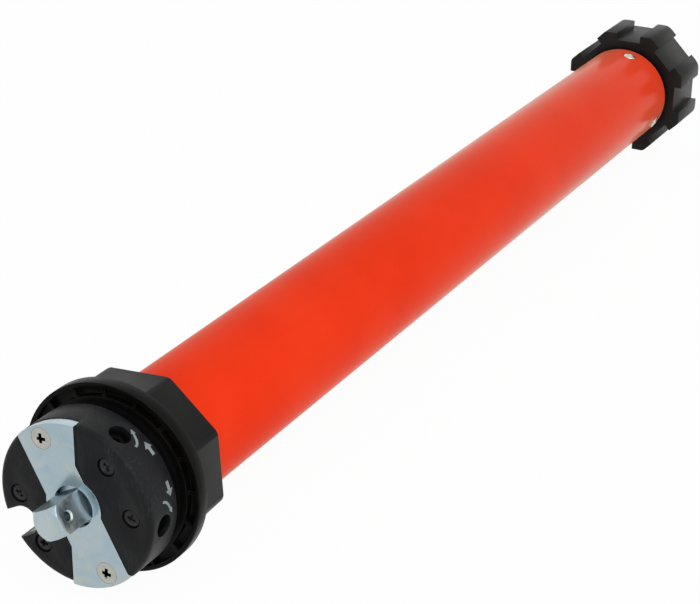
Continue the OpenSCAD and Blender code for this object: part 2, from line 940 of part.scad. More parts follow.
module sun_carrier(stage) {
    x = carrier_x[stage] + carrier_t;
    color("lightgray") {
        carrier_disc(stage);
        on_axis(x - overlap) linear_extrude(stage_x[stage + 1] + planet_w[stage + 1] - x)
            rotate(180 / sun_teeth) gear_2d(sun_teeth, gear_m);
    }
}

module first_carrier() {
    sun_carrier(0);
}

module second_carrier() {
    sun_carrier(1);
}

// Flat on the shaft's end that drives the wheel
module output_flat(grow) {
    translate([wheel_x, -far / 2, output_r - flat_depth + grow]) cube([far, far, far]);
}

module output_shaft() {
    color("lightgray") difference() {
        union() {
            carrier_disc(2);
            rod(carrier_x[2], wheel_end - shaft_sink, output_r);
        }
        output_flat(0);
        ring(hub_end + fixed_gap, hub_end + fixed_gap + clip_t, output_r - wheel_groove, far);
    }
}

module gear_cap() {
    color("darkgray") difference() {
        rod(case_end, cap_end, core_r);
        rod(case_end - 1, far, output_r + bush_wall + fixed_gap);
        at_rivets() translate([0, 0, tube_ri - rivet_grip - spare])
            cylinder(h = far, r = rivet_r + fixed_gap);
    }
}

module output_bush() {
    color("peru") ring(case_end, cap_end, output_r + running_gap, output_r + bush_wall);
}

// Tube

module at_rivets() {
    for (a = [0, rivet_pair, 180, 180 + rivet_pair])
        translate([rivet_x, 0, 0]) rotate([rivet_roll + a, 0, 0]) children();
}

module tube() {
    color("orangered") difference() {
        ring(neck_end + fixed_gap, tube_end, tube_ri, tube_r);
        at_rivets() cylinder(h = far, r = rivet_r + fixed_gap);
        at_neck_screws() cylinder(h = far, r = neck_screw_r + fixed_gap);
    }
}

module tube_rivets() {
    head_z = tube_r + fixed_gap;
    color("gainsboro") at_rivets() difference() {
        union() {
            translate([0, 0, tube_ri - rivet_grip]) cylinder(h = rivet_grip + tube_wall + overlap, r = rivet_r);
            translate([0, 0, head_z])
                cylinder(h = rivet_head_t, r1 = rivet_head_r, r2 = rivet_head_r - rivet_dome);
        }
        translate([0, 0, head_z + rivet_head_t - rivet_dimple]) cylinder(h = 1, r = rivet_dimple_r);
    }
}

// Drive wheel

module wheel_2d() {
    gap_w = 2 * (wheel_flat_r * tan(22.5) - lug_w / 2 / cos(22.5));
    floor_r = wheel_flat_r - recess_depth;
    // The sides are a little hollow, so that the wheel stands on the outer edges of two lugs
    hollow = 0.15;
    difference() {
        intersection() {
            polygon([
                for (i = [0:7]) each [
                    (wheel_flat_r - hollow) * [cos(45 * i), sin(45 * i)],
                    wheel_corner_r * [cos(45 * i + 22.5), sin(45 * i + 22.5)]
                ]
            ]);
            circle(wheel_corner_r - corner_ease);
        }
        for (i = [0:7]) rotate(45 * i) translate([floor_r, -gap_w / 2]) square([far, gap_w]);
    }
}

module drive_wheel() {
    lug_ease = 1;
    rear_drop = 0.3;
    hub_wall = 4;
    hub_r = output_r + hub_wall;
    rim_wall = 4;
    pocket_r = wheel_flat_r - recess_depth - rim_wall;
    lug_len = wheel_len - lug_step;
    clip_room = 3;
    web_t = 4;
    front_depth = 8;
    rib_w = 2;
    rib_sink = 3;
    color("black") difference() {
        rotate([wheel_roll, 0, 0]) on_axis(wheel_x) union() {
            intersection() {
                linear_extrude(lug_len) wheel_2d();
                union() {
                    cylinder(h = lug_len - lug_ease, r = far);
                    translate([0, 0, lug_len - lug_ease])
                        cylinder(h = lug_ease, r1 = wheel_corner_r, r2 = wheel_corner_r - lug_ease);
                }
            }
            linear_extrude(wheel_len) octagon_2d(wheel_flat_r - recess_depth - rear_drop);
        }
        difference() {
            rod(wheel_x - 1, far, output_r + fixed_gap);
            output_flat(fixed_gap);
        }
        ring(wheel_x - 1, wheel_x + front_depth, hub_r, pocket_r);
        rod(hub_end, far, hub_r + clip_room);
        difference() {
            ring(wheel_x + front_depth + web_t, far, hub_r, pocket_r);
            for (i = [0:7]) rotate([wheel_roll + 45 * i + 22.5, 0, 0])
                translate([wheel_x, 0, -rib_w / 2]) cube([wheel_len - rib_sink, far, rib_w]);
        }
    }
}

module wheel_clip() {
    clip_in = output_r - wheel_groove + fixed_gap;
    color("silver") difference() {
        ring(hub_end + 2 * fixed_gap, hub_end + clip_t, clip_in, output_r + wheel_clip_out);
        translate([hub_end - 1, -wheel_clip_mouth / 2, 0]) cube([clip_t + 2, wheel_clip_mouth, far]);
    }
}

mounting_plate();
square_pin();
plate_screws();
head_cover();
cover_screws();
head_body();
cable_socket();
socket_pins();
upper_adjuster();
lower_adjuster();
crown();
crown_clip();
neck_screws();
limit_pinion();
limit_reducer();
upper_cam();
lower_cam();
upper_switch();
lower_switch();
upper_plunger();
lower_plunger();
limit_plate();
capacitor();
capacitor_holder();
brake_yoke();
brake_coil();
brake_spring();
brake_armature();
brake_disc();
rear_shield();
rear_bearing();
stator_core();
stator_windings();
rotor_core();
rotor_shaft();
front_shield();
front_bearing();
gear_case();
planet(0, 0);  // first_planet_a
planet(0, 1);  // first_planet_b
planet(0, 2);  // first_planet_c
first_carrier();
planet(1, 0);  // second_planet_a
planet(1, 1);  // second_planet_b
planet(1, 2);  // second_planet_c
second_carrier();
planet(2, 0);  // third_planet_a
planet(2, 1);  // third_planet_b
planet(2, 2);  // third_planet_c
output_shaft();
gear_cap();
output_bush();
tube();
tube_rivets();
drive_wheel();
wheel_clip();
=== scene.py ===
# %% [markdown]
# A tubular motor for a roller blind lies on a pale table. Its red tube hides the motor and its
# gears, a black head with a bright plate holds it to a bracket, and two octagons carry the
# blind's roller tube. The solids were drawn in another program and packed as a frame. This lesson
# dresses that frame: it rounds the edges, models the small details, gives each part its finish
# and lights the scene.

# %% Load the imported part
import json
import math

import bmesh
import bpy
from mathutils import Matrix, Vector


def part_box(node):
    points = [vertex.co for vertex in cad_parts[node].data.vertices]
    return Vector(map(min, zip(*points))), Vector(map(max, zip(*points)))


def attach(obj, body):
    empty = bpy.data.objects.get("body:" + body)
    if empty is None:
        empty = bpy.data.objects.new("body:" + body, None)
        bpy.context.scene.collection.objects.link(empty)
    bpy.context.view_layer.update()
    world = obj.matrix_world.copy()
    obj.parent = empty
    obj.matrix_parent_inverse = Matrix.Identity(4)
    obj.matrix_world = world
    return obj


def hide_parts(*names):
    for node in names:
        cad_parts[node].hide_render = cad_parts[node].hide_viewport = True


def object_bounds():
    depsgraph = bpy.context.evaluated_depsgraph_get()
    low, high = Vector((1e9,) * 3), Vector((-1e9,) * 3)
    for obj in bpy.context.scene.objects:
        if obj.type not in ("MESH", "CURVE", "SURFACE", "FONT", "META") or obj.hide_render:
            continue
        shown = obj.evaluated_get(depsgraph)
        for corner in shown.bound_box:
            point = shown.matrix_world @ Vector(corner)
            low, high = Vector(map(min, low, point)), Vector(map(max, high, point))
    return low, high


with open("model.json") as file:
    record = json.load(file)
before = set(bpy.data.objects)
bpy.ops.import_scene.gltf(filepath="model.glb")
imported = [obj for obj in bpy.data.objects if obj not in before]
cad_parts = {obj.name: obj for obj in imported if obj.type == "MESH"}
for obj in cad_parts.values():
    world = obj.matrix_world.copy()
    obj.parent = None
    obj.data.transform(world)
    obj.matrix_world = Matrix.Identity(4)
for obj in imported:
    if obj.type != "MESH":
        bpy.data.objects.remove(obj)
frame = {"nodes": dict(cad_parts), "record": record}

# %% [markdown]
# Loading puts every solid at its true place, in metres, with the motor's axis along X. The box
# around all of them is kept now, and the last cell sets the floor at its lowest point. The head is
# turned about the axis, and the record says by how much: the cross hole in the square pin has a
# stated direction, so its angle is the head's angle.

MM = 0.001


def in_mm(box):
    return [[round(v / MM, 1) for v in corner] for corner in box]


cad_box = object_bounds()
mounts = {mount["name"]: mount for mount in frame["record"]["mounts"]}
cross_axis = Vector(mounts["split_pin_hole"]["axis"])
head_angle = math.atan2(cross_axis.z, cross_axis.y)
tube_low, tube_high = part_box("tube")
head_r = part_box("head_cover")[1].z
print("solids:", len(frame["nodes"]), "in a CAD box of", in_mm(cad_box), "mm")
print("head turned by", round(math.degrees(head_angle), 1), "degrees,",
      "radius", round(head_r / MM, 2), "mm")

# %% [markdown]
# The camera stands where the photograph was taken from. Its place and its long lens could be set
# by eye, but here they were found by fitting the ellipses of the head and the edges of the tube,
# so they are plain numbers. A track quaternion points the camera's -Z axis along the view and
# keeps its Y axis upright, and the same helper will aim the lamps.

# %% Camera
CAMERA_PLACE = Vector((-0.43225, -0.32321, 0.29997))
CAMERA_VIEW = Vector((0.81167, 0.42707, -0.39850))
LENS_MM = 102.15
SENSOR_MM = 36


def put(name, data):
    thing = bpy.data.objects.new(name, data)
    bpy.context.scene.collection.objects.link(thing)
    return thing


def aim(thing, place, along):
    thing.location = place
    thing.rotation_mode = "QUATERNION"
    thing.rotation_quaternion = along.to_track_quat("-Z", "Y")


camera_data = bpy.data.cameras.new("camera")
camera_data.lens = LENS_MM
camera_data.sensor_width = SENSOR_MM
camera_data.sensor_fit = "HORIZONTAL"
camera = put("camera", camera_data)
aim(camera, CAMERA_PLACE, CAMERA_VIEW)
bpy.context.scene.camera = camera
print("camera", round(CAMERA_PLACE.length, 3), "m from the head")

# %% [markdown]
# A finish is a small network of nodes. It could be wired by hand in the shader editor, but thirty
# finishes are easier to compare when each is a few lines of text. The first helper fills one
# socket, with a plain value or with a link. The others add a node and fill its sockets by name,
# or by order where several sockets share a name, as those of a sum do.

# %% Helpers for shader nodes
def fill(tree, socket, value):
    if isinstance(value, bpy.types.NodeSocket):
        tree.links.new(value, socket)
    else:
        socket.default_value = value


def add(tree, kind, **inputs):
    step = tree.nodes.new("ShaderNode" + kind)
    for key, value in inputs.items():
        fill(tree, step.inputs[key.replace("_", " ")], value)
    return step


def maths(tree, operation, *values, kind="Math"):
    step = add(tree, kind)
    step.operation = operation
    for socket, value in zip(step.inputs, values):
        fill(tree, socket, value)
    return step.outputs["Value"]


print("helpers for nodes: fill, add, maths")

# %% [markdown]
# The same noise looks like cast grain, lathe rings or stacked sheet, depending on the coordinates
# that it is fed. All of them start from the object's own coordinates in metres, so a grain of a
# quarter of a millimetre has that size on every part, large or small. On a turned part the marks
# run round the axis, so the pattern may change along X and with the radius only. A stack of
# sheets changes along X only. A brushed face is stretched along one direction of the head.

# %% Coordinates for the patterns
BRUSH_SQUEEZE = 0.06


def plain_place(tree):
    return add(tree, "TexCoord").outputs["Object"]


def turned_place(tree):
    parts = add(tree, "SeparateXYZ", Vector=plain_place(tree))
    across = add(tree, "CombineXYZ", Y=parts.outputs["Y"], Z=parts.outputs["Z"])
    radius = maths(tree, "LENGTH", across.outputs[0], kind="VectorMath")
    return add(tree, "CombineXYZ", X=parts.outputs["X"], Y=radius).outputs[0]


def stacked_place(tree):
    parts = add(tree, "SeparateXYZ", Vector=plain_place(tree))
    return add(tree, "CombineXYZ", X=parts.outputs["X"]).outputs[0]


def brushed_place(tree):
    upright = add(tree, "Mapping", Vector=plain_place(tree), Rotation=(-head_angle, 0, 0))
    squeezed = add(tree, "Mapping", Vector=upright.outputs[0], Scale=(1, 1, BRUSH_SQUEEZE))
    return squeezed.outputs[0]


PLACES = {"plain": plain_place, "turned": turned_place,
          "stacked": stacked_place, "brushed": brushed_place}
print("patterns can be:", ", ".join(PLACES))

# %% [markdown]
# Three more helpers carry a pattern into a colour. Noise gives a value between 0 and 1 that stays
# mostly near the middle, so a span of it is stretched to the range that is wanted, and that range
# mixes two colours or sets a roughness. The Mix node has one set of sockets for each kind of
# data, and those for colours are reached by their numbers.

# %% Helpers for patterns and colours
MIX_SHARE, MIX_FIRST, MIX_SECOND, MIX_RESULT = 0, 6, 7, 2


def noise(tree, place, scale, detail=2, rough=0.5, warp=0):
    step = add(tree, "TexNoise", Vector=place, Scale=scale, Detail=detail, Roughness=rough,
               Distortion=warp)
    return step.outputs["Fac"]


def stretch(tree, value, span, result=(0, 1)):
    step = add(tree, "MapRange", Value=value, From_Min=span[0], From_Max=span[1],
               To_Min=result[0], To_Max=result[1])
    return step.outputs[0]


def mix_colours(tree, share, first, second):
    step = add(tree, "Mix")
    step.data_type = "RGBA"
    fill(tree, step.inputs[MIX_SHARE], share)
    for index, colour in ((MIX_FIRST, first), (MIX_SECOND, second)):
        opaque = (*colour, 1) if isinstance(colour, tuple) else colour
        fill(tree, step.inputs[index], opaque)
    return step.outputs[MIX_RESULT]


print("helpers for patterns: noise, stretch, mix_colours")

# %% [markdown]
# Handling wears the edges of a part first. The wear could be painted on each part, but the Bevel
# node finds every edge by itself: it gives the normal that the surface would have if its edges
# were rounded, and where that differs from the true normal there is an edge close by. The
# difference makes a mask, broken up by noise, that lightens or bares the worn edges of the
# mouldings and metals, and that paints a highlight along the edges of the plated parts.

# %% Edge mask
EDGE_REACH = 0.5 * MM
BEVEL_SAMPLES = 6
EDGE_COSINES = (0.99, 0.75)
BREAK_SPAN = (0.35, 0.65)
LEAST_WEAR_AND_HIGHLIGHT = 0.15


def edge_mask(tree, reach, uneven):
    soft = add(tree, "Bevel", Radius=reach)
    soft.samples = BEVEL_SAMPLES
    true = add(tree, "NewGeometry")
    same = maths(tree, "DOT_PRODUCT", soft.outputs["Normal"], true.outputs["Normal"],
                 kind="VectorMath")
    near = stretch(tree, same, EDGE_COSINES)
    broken = stretch(tree, uneven, BREAK_SPAN, (LEAST_WEAR_AND_HIGHLIGHT, 1))
    return maths(tree, "MULTIPLY", near, broken)


print("worn edges reach", EDGE_REACH / MM, "mm")

# %% [markdown]
# A finish starts from Blender's principled shader and ends by linking a colour, a roughness and a
# bump to it. Values that are the same all over, such as the metal share or the specular level,
# are set on the shader itself.

# %% Start and close a finish
finishes = {}


def new_finish(name):
    made = bpy.data.materials.new(name)
    made.use_nodes = True
    return made, made.node_tree, made.node_tree.nodes["Principled BSDF"]


def set_all_over(shader, **values):
    for key, value in values.items():
        shader.inputs[key.replace("_", " ")].default_value = value


def close_finish(tree, shader, colour, dull, height, bump, deep):
    relief = add(tree, "Bump", Strength=bump, Distance=deep, Height=height).outputs["Normal"]
    tree.links.new(colour, shader.inputs["Base Color"])
    tree.links.new(dull, shader.inputs["Roughness"])
    tree.links.new(relief, shader.inputs["Normal"])
    return relief


def add_finishes(make, recipes, **shared):
    for name, recipe in recipes.items():
        finishes[name] = make(name, **shared, **recipe)
    print("finishes:", ", ".join(recipes))


print("helpers for finishes: new_finish, set_all_over, close_finish, add_finishes")

# %% [markdown]
# Most parts of the motor are plain mouldings or bare metal, and one recipe serves them all: a
# fine grain and broad clouds mix a darker and a lighter colour, the same mix sets the roughness,
# the grain makes the bump, and worn edges take a third colour. A part that is often handled may
# have scuffs, which are slanting lines that show only in some of the clouds.

# %% The common recipe
GRAIN_SHARE = 0.5
COLOUR_SPAN = (0.45, 1.05)
SCUFF_SLANT = (0.9, 0.5, 0.4)
SCUFF_SQUEEZE = (1, 1, 0.14)
SCUFF_LINES = 1400
SCUFF_LINE_SPAN = (0.50, 0.72)
SCUFF_PATCH_SPAN = (0.45, 0.62)


def scuffed(tree, colour, scuff, broad):
    slanted = add(tree, "Mapping", Vector=plain_place(tree), Rotation=SCUFF_SLANT,
                  Scale=SCUFF_SQUEEZE)
    rubbed = noise(tree, slanted.outputs[0], SCUFF_LINES, detail=4, rough=0.7)
    patchy = stretch(tree, broad, SCUFF_PATCH_SPAN)
    lines = stretch(tree, rubbed, SCUFF_LINE_SPAN)
    return mix_colours(tree, maths(tree, "MULTIPLY", patchy, lines), colour, scuff)


def surface(name, dark, light, place="plain", grain=3000, clouds=90, rough=(0.4, 0.55), bump=0.1,
            metal=0.0, specular=0.5, wear=None, scuff=None, coat=0.0, deep=0.04 * MM):
    made, tree, shader = new_finish(name)
    fine = noise(tree, PLACES[place](tree), grain, detail=3, rough=0.6)
    broad = noise(tree, plain_place(tree), clouds, detail=3, rough=0.55)
    spread = stretch(tree, maths(tree, "MULTIPLY_ADD", fine, GRAIN_SHARE, broad), COLOUR_SPAN)
    colour = mix_colours(tree, spread, dark, light)
    if scuff:
        colour = scuffed(tree, colour, scuff, broad)
    if wear:
        colour = mix_colours(tree, edge_mask(tree, EDGE_REACH, broad), colour, wear)
    close_finish(tree, shader, colour, stretch(tree, spread, (0, 1), rough), fine, bump, deep)
    set_all_over(shader, Metallic=metal, Specular_IOR_Level=specular, Coat_Weight=coat)
    return made


print("recipe for mouldings and bare metals: surface")

# %% [markdown]
# The head, the crown and the drive wheel are black mouldings. The cap is finely sparked, so it is
# dull. The core under it was polished in the mould, and the crown and the wheel are in between.
# Black plastic is never fully black: its own colour is two percent or less, and the rest of what
# we see is reflection, so the specular level does as much here as the colour.

# %% Black mouldings
add_finishes(surface, {
    "head_black": dict(
        dark=(0.004, 0.004, 0.005), light=(0.010, 0.0105, 0.0115), grain=2600, rough=(0.40, 0.56),
        bump=0.35, specular=0.145, wear=(0.04, 0.04, 0.042), scuff=(0.026, 0.027, 0.028)),
    "core_black": dict(
        dark=(0.002, 0.002, 0.0025), light=(0.005, 0.005, 0.0055), grain=900, rough=(0.10, 0.20),
        bump=0.08, specular=0.2),
    "crown_black": dict(
        dark=(0.0020, 0.0017, 0.0015), light=(0.0052, 0.0046, 0.0042), grain=1500,
        rough=(0.28, 0.40), bump=0.15, specular=0.07, wear=(0.035, 0.034, 0.033)),
    "wheel_black": dict(
        dark=(0.009, 0.009, 0.008), light=(0.020, 0.020, 0.0185), grain=2000, rough=(0.30, 0.42),
        bump=0.3, specular=0.10, wear=(0.04, 0.04, 0.038)),
    "switch_black": dict(
        dark=(0.014, 0.014, 0.015), light=(0.03, 0.03, 0.031), grain=2400, rough=(0.35, 0.5),
        bump=0.2),
    "holder_black": dict(
        dark=(0.02, 0.02, 0.02), light=(0.04, 0.04, 0.04), grain=2200, rough=(0.45, 0.6),
        bump=0.25, wear=(0.09, 0.09, 0.09)),
    "adjuster_black": dict(
        dark=(0.002, 0.002, 0.002), light=(0.006, 0.006, 0.0065), grain=1800, rough=(0.3, 0.42),
        bump=0.12, specular=0.1, wear=(0.03, 0.03, 0.03)),
})

# %% [markdown]
# Light mouldings carry the supply contacts and make the limit gears. Gears of this kind are
# moulded in a waxy plastic, in a colour for each direction of travel, with a smooth skin and
# faint flow clouds. The waxy ones share their grain, so only their colours differ.

# %% Light mouldings
WAXY = dict(grain=1500, rough=(0.28, 0.4), bump=0.1)
add_finishes(surface, {
    "limit_white": dict(dark=(0.64, 0.64, 0.62), light=(0.76, 0.76, 0.74)),
    "upper_cam_orange": dict(dark=(0.66, 0.22, 0.02), light=(0.80, 0.31, 0.04)),
    "lower_cam_blue": dict(dark=(0.09, 0.29, 0.55), light=(0.14, 0.38, 0.66)),
    "plunger_red": dict(dark=(0.46, 0.02, 0.015), light=(0.60, 0.04, 0.025)),
}, **WAXY)
add_finishes(surface, {
    "socket_ivory": dict(dark=(0.56, 0.52, 0.41), light=(0.68, 0.64, 0.53), grain=2000, bump=0.15),
    "capacitor_grey": dict(
        dark=(0.36, 0.37, 0.38), light=(0.46, 0.47, 0.48), grain=1800, rough=(0.4, 0.52),
        bump=0.15, wear=(0.6, 0.6, 0.6)),
})

# %% [markdown]
# Inside the tube are metals, each with the trace of how it was made: rings from the lathe on
# shafts and bearings, sheet edges on the iron cores, wire turns on the coils, pores in sintered
# gears and the skin of a casting on the end shields. A colour alone would make them all look
# alike, so the patterns and their coordinates do the work.

# %% Metals inside
add_finishes(surface, {
    "iron": dict(
        dark=(0.17, 0.18, 0.19), light=(0.30, 0.31, 0.33), place="turned", grain=5000,
        rough=(0.4, 0.6), bump=0.2, wear=(0.42, 0.43, 0.45)),
    "core_steel": dict(
        dark=(0.20, 0.21, 0.23), light=(0.42, 0.44, 0.47), place="stacked", grain=2200,
        rough=(0.4, 0.6), bump=0.5),
    "copper_winding": dict(
        dark=(0.30, 0.09, 0.03), light=(0.58, 0.24, 0.09), place="turned", grain=2400,
        rough=(0.25, 0.4), bump=0.8, coat=0.4, deep=0.2 * MM),
    "shield_alloy": dict(
        dark=(0.46, 0.47, 0.48), light=(0.68, 0.69, 0.70), grain=1600, rough=(0.38, 0.58),
        bump=0.35, wear=(0.78, 0.79, 0.80)),
    "bearing_steel": dict(
        dark=(0.52, 0.53, 0.55), light=(0.68, 0.69, 0.71), place="turned", grain=8000,
        rough=(0.15, 0.28), bump=0.08),
    "gear_steel": dict(
        dark=(0.42, 0.43, 0.45), light=(0.60, 0.61, 0.63), place="turned", grain=7000,
        rough=(0.2, 0.38), bump=0.12, wear=(0.75, 0.76, 0.78)),
    "ring_steel": dict(
        dark=(0.33, 0.34, 0.36), light=(0.50, 0.51, 0.53), grain=2500, rough=(0.4, 0.55),
        bump=0.3),
    "planet_sinter": dict(
        dark=(0.42, 0.29, 0.10), light=(0.64, 0.47, 0.20), grain=3500, rough=(0.38, 0.58),
        bump=0.4),
    "bush_bronze": dict(
        dark=(0.42, 0.25, 0.10), light=(0.60, 0.39, 0.17), place="turned", grain=4500,
        rough=(0.28, 0.42), bump=0.15),
    "spring_steel": dict(
        dark=(0.38, 0.39, 0.42), light=(0.58, 0.59, 0.61), place="turned", grain=6000,
        rough=(0.22, 0.36), bump=0.1, wear=(0.7, 0.7, 0.72)),
    "contact_brass": dict(
        dark=(0.62, 0.44, 0.16), light=(0.80, 0.60, 0.27), grain=4000, rough=(0.2, 0.35),
        bump=0.08),
}, metal=1)

# %% [markdown]
# Two finishes hide the metal under them. The brake's friction lining is full of short fibres,
# which a coarse, deep bump suggests, and the cap's screws are blackened steel with rubbed edges.

# %% Lining and blackened screws
add_finishes(surface, {
    "brake_lining": dict(
        dark=(0.09, 0.05, 0.03), light=(0.24, 0.14, 0.08), grain=1200, rough=(0.75, 0.95),
        bump=0.6, deep=0.1 * MM),
    "black_screw": dict(
        dark=(0.004, 0.004, 0.004), light=(0.012, 0.012, 0.012), rough=(0.3, 0.45), bump=0.15,
        specular=0.25, wear=(0.05, 0.05, 0.05)),
})

# %% [markdown]
# Zinc plating on the plate, the pin and the screws is bright, but cloudy: the passivating bath
# leaves bluish and straw-coloured patches, and rolling left faint lines along the sheet. The
# clouds set the colour, the lines set the roughness, and a painted highlight makes the edges
# brighter. A screw's finish may also turn dark below a given depth along X, which is painted
# shade in its cross and on the rim of its head.

# %% Zinc plating
COOL_TINTS = ((0.44, 0.47, 0.43), (0.31, 0.42, 0.50))
WARM_TINTS = ((0.46, 0.46, 0.42), (0.42, 0.42, 0.39))
PATCH_SPAN = (0.32, 0.68)
TINT_SPANS = ((0.44, 0.30), (0.56, 0.70))
TINT_FINER = 1.7
SPOT_FINER = 9
TINT_MOST = 0.7
STREAK_MOST = 0.08
LINE_SPAN = (0.3, 0.7)
EDGE_HIGHLIGHT_REACH = 0.4 * MM
PLATING_DEEP = 0.03 * MM
# Painted shade for the deep parts of a screw: its colour, its largest share and its fade.
PAINTED_SHADE = (0.018, 0.015, 0.010)
PAINTED_SHADE_MOST = 0.97
PAINTED_SHADE_FADE = 0.3 * MM


# The edge colour tints the rolling lines and paints a highlight along the edges.
def plating(name, cool, warm, edge, rough, place="brushed", lines=2500, clouds=70, bump=0.06,
            tints=COOL_TINTS, dark_from=None):
    made, tree, shader = new_finish(name)
    at = plain_place(tree)
    patches = noise(tree, at, clouds, rough=0.45, warp=0.6)
    tinted = noise(tree, at, clouds * TINT_FINER, warp=1)
    brush = noise(tree, PLACES[place](tree), lines, rough=0.6)
    spots = noise(tree, at, clouds * SPOT_FINER)
    colour = mix_colours(tree, stretch(tree, patches, PATCH_SPAN), cool, warm)
    for tint, span in zip(tints, TINT_SPANS):
        colour = mix_colours(tree, stretch(tree, tinted, span, (0, TINT_MOST)), colour, tint)
    streaks = stretch(tree, brush, LINE_SPAN, (0, STREAK_MOST))
    colour = mix_colours(tree, streaks, colour, edge)
    # Painted highlight: the edges take the lighter edge colour.
    colour = mix_colours(tree, edge_mask(tree, EDGE_HIGHLIGHT_REACH, spots), colour, edge)
    # Painted shade: below the given depth along X the colour turns dark, in a screw's cross and on
    # the rim of its head.
    if dark_from is not None:
        depth = add(tree, "SeparateXYZ", Vector=at).outputs["X"]
        painted_shade_share = stretch(tree, depth, (dark_from, dark_from + PAINTED_SHADE_FADE), (0, PAINTED_SHADE_MOST))
        colour = mix_colours(tree, painted_shade_share, colour, PAINTED_SHADE)
    dull = stretch(tree, brush, LINE_SPAN, rough)
    close_finish(tree, shader, colour, dull, brush, bump, PLATING_DEEP)
    set_all_over(shader, Metallic=1)
    return made


print("tints of the plating:", len(COOL_TINTS), "cool,", len(WARM_TINTS), "warm")

# %% [markdown]
# The plate and the pin are larger than the screws, so their clouds are broader. The pin was
# turned at its tip and has lathe rings instead of brushed lines. The screws look warmer, and
# those in the plate are darker than the rivets, with painted shade in their crosses and on the
# rims of their heads.

# %% Plated parts
SCREW_PLATING = dict(rough=(0.18, 0.30), place="plain", clouds=300, tints=WARM_TINTS)
add_finishes(plating, {
    "zinc_plate": dict(
        cool=(0.31, 0.42, 0.47), warm=(0.40, 0.47, 0.49), edge=(0.58, 0.62, 0.63),
        rough=(0.16, 0.26)),
    "pin_steel": dict(
        cool=(0.34, 0.43, 0.47), warm=(0.45, 0.52, 0.54), edge=(0.74, 0.77, 0.79),
        rough=(0.30, 0.42), place="turned", lines=900, bump=0.04),
    "bright_screw": dict(
        cool=(0.50, 0.49, 0.45), warm=(0.62, 0.58, 0.52), edge=(0.86, 0.84, 0.80),
        **SCREW_PLATING),
    "plate_screw_zinc": dict(
        cool=(0.36, 0.37, 0.34), warm=(0.45, 0.44, 0.40), edge=(0.74, 0.74, 0.71),
        dark_from=0.2 * MM, **SCREW_PLATING),
})

# %% [markdown]
# The tube is drawn steel with a baked red lacquer. Lacquer is a coloured layer under a clear
# skin. On this tube the skin is thin, so the colour leads and the reflections stay faint. The
# skin isn't flat: a ripple of a millimetre or two, which painters call orange peel, breaks the
# reflections up. Broad clouds vary the colour, and a few specks lie in it. A film of dust, which
# the shader calls sheen, makes the lacquer look brownish where it is seen at a flat angle.

# %% Red lacquer
LACQUER_CLOUDS = 26
CLOUD_SPAN = (0.3, 0.7)
LACQUER_ROUGH = (0.14, 0.20)
PEEL_RIPPLES = 650
PEEL_BUMP = 0.05
PEEL_DEEP = 0.08 * MM
SPECKS = 260
SPECK_SPAN = (0.05, 0.09)
SPECK_MOST = 0.35
SPECK_RED = (0.42, 0.016, 0.006)
DUST_TINT = (1.0, 0.88, 0.5, 1)


def lacquer(name, deep, bright):
    made, tree, shader = new_finish(name)
    at = plain_place(tree)
    clouds = noise(tree, at, LACQUER_CLOUDS, detail=3)
    peel = noise(tree, at, PEEL_RIPPLES, detail=1.5)
    specks = add(tree, "TexVoronoi", Vector=at, Scale=SPECKS).outputs["Distance"]
    colour = mix_colours(tree, stretch(tree, clouds, CLOUD_SPAN), deep, bright)
    speckled = stretch(tree, specks, SPECK_SPAN, (SPECK_MOST, 0))
    colour = mix_colours(tree, speckled, colour, SPECK_RED)
    dull = stretch(tree, clouds, CLOUD_SPAN, LACQUER_ROUGH)
    relief = close_finish(tree, shader, colour, dull, peel, PEEL_BUMP, PEEL_DEEP)
    tree.links.new(relief, shader.inputs["Coat Normal"])
    set_all_over(shader, Specular_IOR_Level=0.012, Coat_Weight=0.01, Coat_Roughness=0.05,
                 Sheen_Weight=0.25, Sheen_Roughness=0.36, Sheen_Tint=DUST_TINT)
    return made


add_finishes(lacquer, {
    "tube_red": dict(deep=(0.86, 0.034, 0.006), bright=(0.92, 0.044, 0.010)),
})

# %% [markdown]
# Every solid of the frame takes the finish that its record names. The solids that are dressed
# further below are hidden by their new pieces, and the rest, such as the gears in the tube, keep
# what they get here.

# %% Dress the solids
bodies = frame["record"]["behaviour"]["bodies"]
body_of = {node: body for body, nodes in bodies.items() for node in nodes}
slot_of = {part["node"]: part["material_slot"] for part in frame["record"]["subparts"]}
for node, slot in slot_of.items():
    mesh = frame["nodes"][node].data
    mesh.materials.clear()
    mesh.materials.append(finishes[slot])
print("solids dressed:", len(slot_of), "on bodies:", len(bodies))

# %% [markdown]
# Faces that meet at more than thirty degrees keep a crisp line between them.

# %% A helper that adds a piece
CRISP_ANGLE = math.radians(30)
SHADING_LAYERS = ("custom_normal", "sharp_edge", "sharp_face")


def add_piece(name, bm, node, replace=True, finish=None):
    mesh = bpy.data.meshes.new(name)
    bmesh.ops.recalc_face_normals(bm, faces=bm.faces)
    bm.to_mesh(mesh)
    bm.free()
    for layer in SHADING_LAYERS:
        if layer in mesh.attributes:
            mesh.attributes.remove(mesh.attributes[layer])
    mesh.shade_smooth()
    mesh.set_sharp_from_angle(angle=CRISP_ANGLE)
    mesh.materials.append(finishes[finish or slot_of[node]])
    piece = put(name, mesh)
    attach(piece, body_of[node])
    if replace:
        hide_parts(node)
    print(name, "vertices", len(mesh.vertices))


print("crisp lines above", round(math.degrees(CRISP_ANGLE)), "degrees")

# %% [markdown]
# Screws and rivets come in sets, and a set is one solid of several islands. Their places could be
# typed in, but then they would be wrong as soon as the drawing changes. So each island's box is
# measured from the welded mesh, and the detailed copies sit exactly where the plain ones were.

# %% Places of the screws and rivets
WELD = 2e-6
SORT_DIGITS = 5


def welded(node):
    bm = bmesh.new()
    bm.from_mesh(frame["nodes"][node].data)
    bmesh.ops.remove_doubles(bm, verts=bm.verts, dist=WELD)
    return bm


